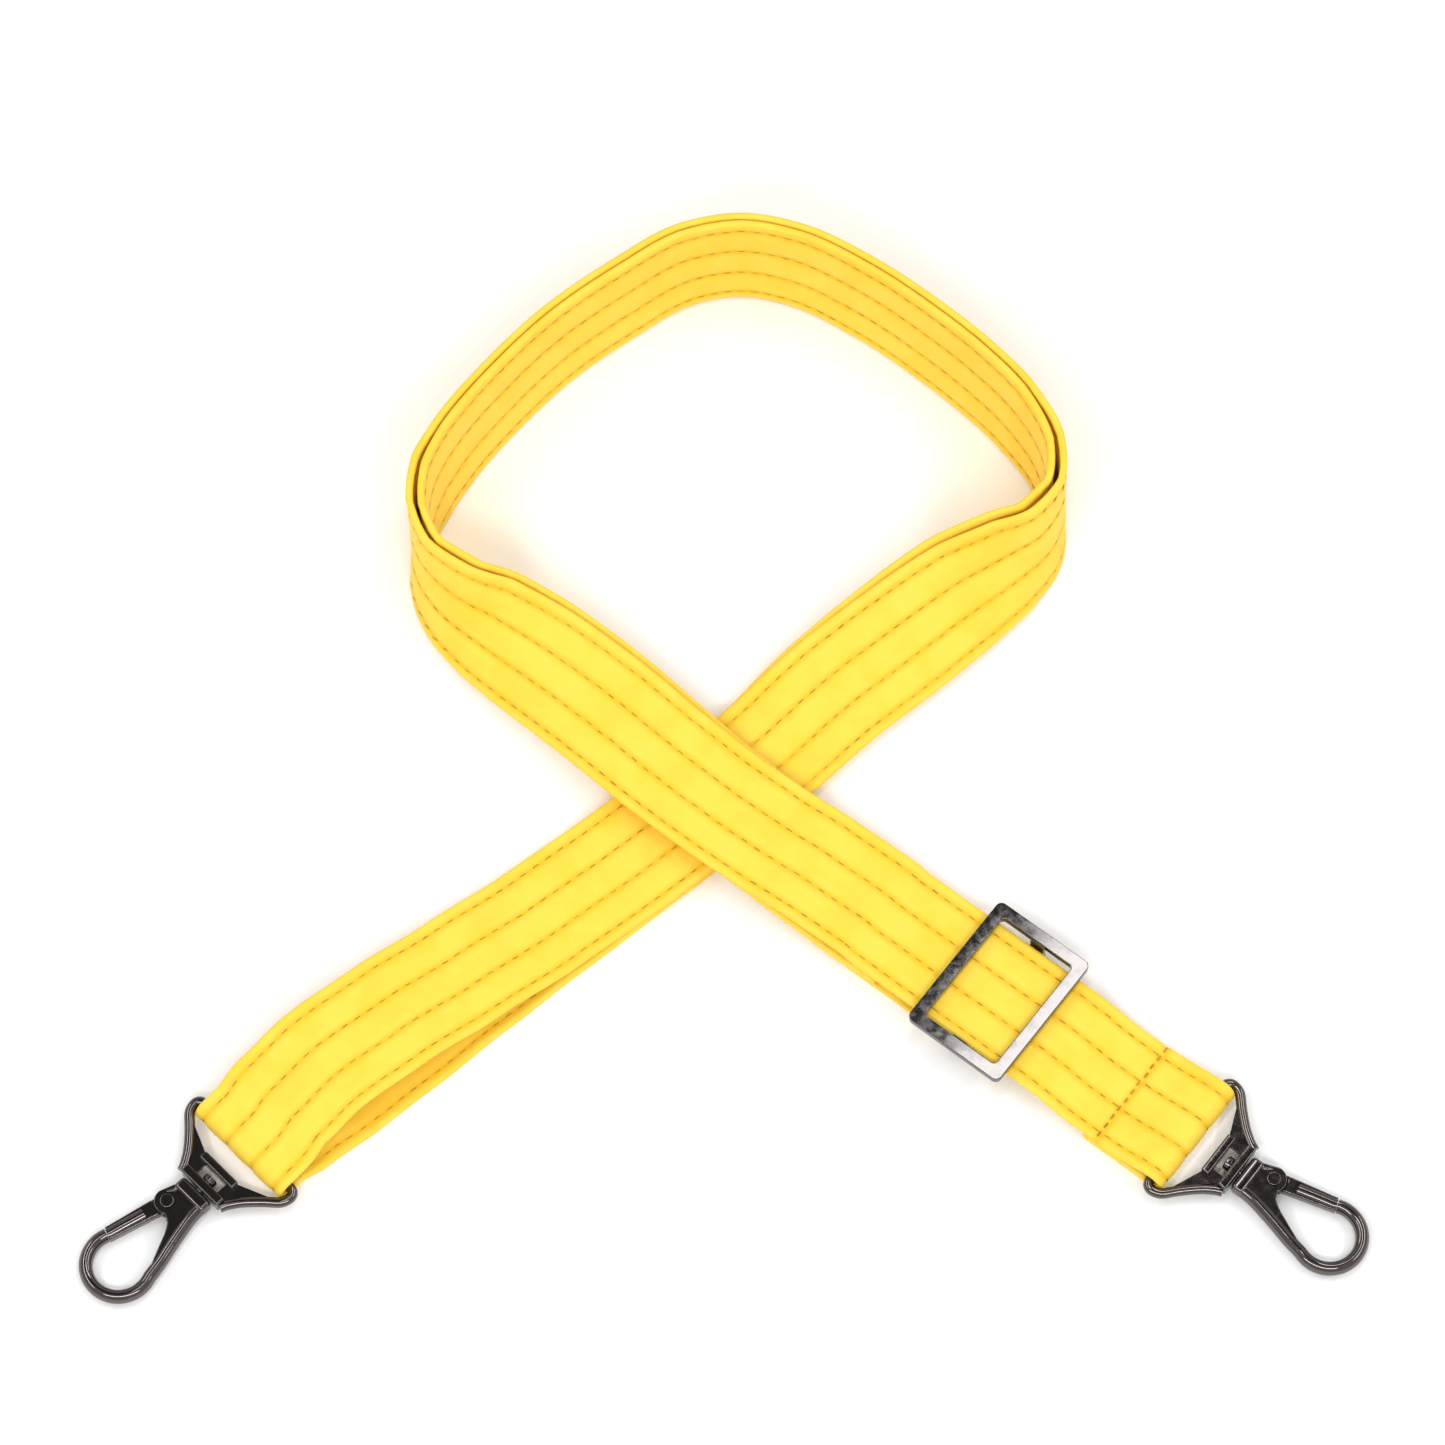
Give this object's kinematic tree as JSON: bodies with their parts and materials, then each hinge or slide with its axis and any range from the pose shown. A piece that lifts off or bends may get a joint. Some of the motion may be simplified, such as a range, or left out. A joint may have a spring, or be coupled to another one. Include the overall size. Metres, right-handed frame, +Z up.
{
  "type": "martial arts belt carry strap",
  "caption": "Stitched martial arts belt cloth made into an adjustable carry strap, with a rectangular slider and a swivel snap hook at each end.",
  "frame": {"origin": "centre of the strap's box at the surface that it lies on", "axes": "+Z up off that surface, +X along the longest side, from the left hook to the right one"},
  "size_m": [0.3902, 0.3483, 0.0388],
  "materials": {
    "belt_cloth": "woven satin-faced cloth with lengthwise stitching",
    "belt_core": "plain cotton core",
    "gunmetal": "polished dark plated die casting",
    "spring_steel": "bright drawn wire"
  },
  "bodies": {
    "belt": {"outer_run_cover": "belt_cloth", "outer_run_core": "belt_core", "return_run_cover": "belt_cloth", "return_run_core": "belt_core"},
    "slider": {"slider_frame": "gunmetal", "slider_centre_bar": "gunmetal", "slider_sewn_end": "belt_cloth"},
    "right_loop": {"right_d_loop": "gunmetal"},
    "left_loop": {"left_d_loop": "gunmetal"},
    "right_hook": {"right_hook_body": "gunmetal", "right_swivel_rivet": "gunmetal", "right_gate_pin": "gunmetal", "right_gate_spring": "spring_steel"},
    "left_hook": {"left_hook_body": "gunmetal", "left_swivel_rivet": "gunmetal", "left_gate_pin": "gunmetal", "left_gate_spring": "spring_steel"},
    "right_gate_arm": {"right_gate": "gunmetal"},
    "left_gate_arm": {"left_gate": "gunmetal"}
  },
  "joints": [
    {"name": "slider_slide", "type": "slide", "parent": "belt", "child": "slider", "axis": [-0.7934, 0.6088, 0], "range_m": [-0.02, 0.022]},
    {"name": "right_loop_turn", "type": "hinge", "parent": "belt", "child": "right_loop", "pos_m": [0.14059, -0.11797, 0.00477], "axis": [-0.6088, -0.7934, 0], "range_deg": [-60, 100]},
    {"name": "right_swivel", "type": "hinge", "parent": "right_loop", "child": "right_hook", "pos_m": [0.15645, -0.13015, 0.00421], "axis": [0.793, -0.6085, -0.0282], "continuous": true},
    {"name": "right_gate_swing", "type": "hinge", "parent": "right_hook", "child": "right_gate_arm", "pos_m": [0.16643, -0.13289, 0.00393], "axis": [-0.0224, 0.0172, -0.9996], "range_deg": [0, 20], "stiffness_Nm_per_rad": 0.02, "springref_deg": -20.05},
    {"name": "left_loop_turn", "type": "hinge", "parent": "belt", "child": "left_loop", "pos_m": [-0.14471, -0.12198, 0.00477], "axis": [-0.7009, 0.7133, 0], "range_deg": [-60, 100]},
    {"name": "left_swivel", "type": "hinge", "parent": "left_loop", "child": "left_hook", "pos_m": [-0.15897, -0.13599, 0.00421], "axis": [-0.713, -0.7006, -0.0282], "continuous": true},
    {"name": "left_gate_swing", "type": "hinge", "parent": "left_hook", "child": "left_gate_arm", "pos_m": [-0.16855, -0.13993, 0.00393], "axis": [-0.0201, -0.0198, 0.9996], "range_deg": [0, 20], "stiffness_Nm_per_rad": 0.02, "springref_deg": -20.05}
  ]
}
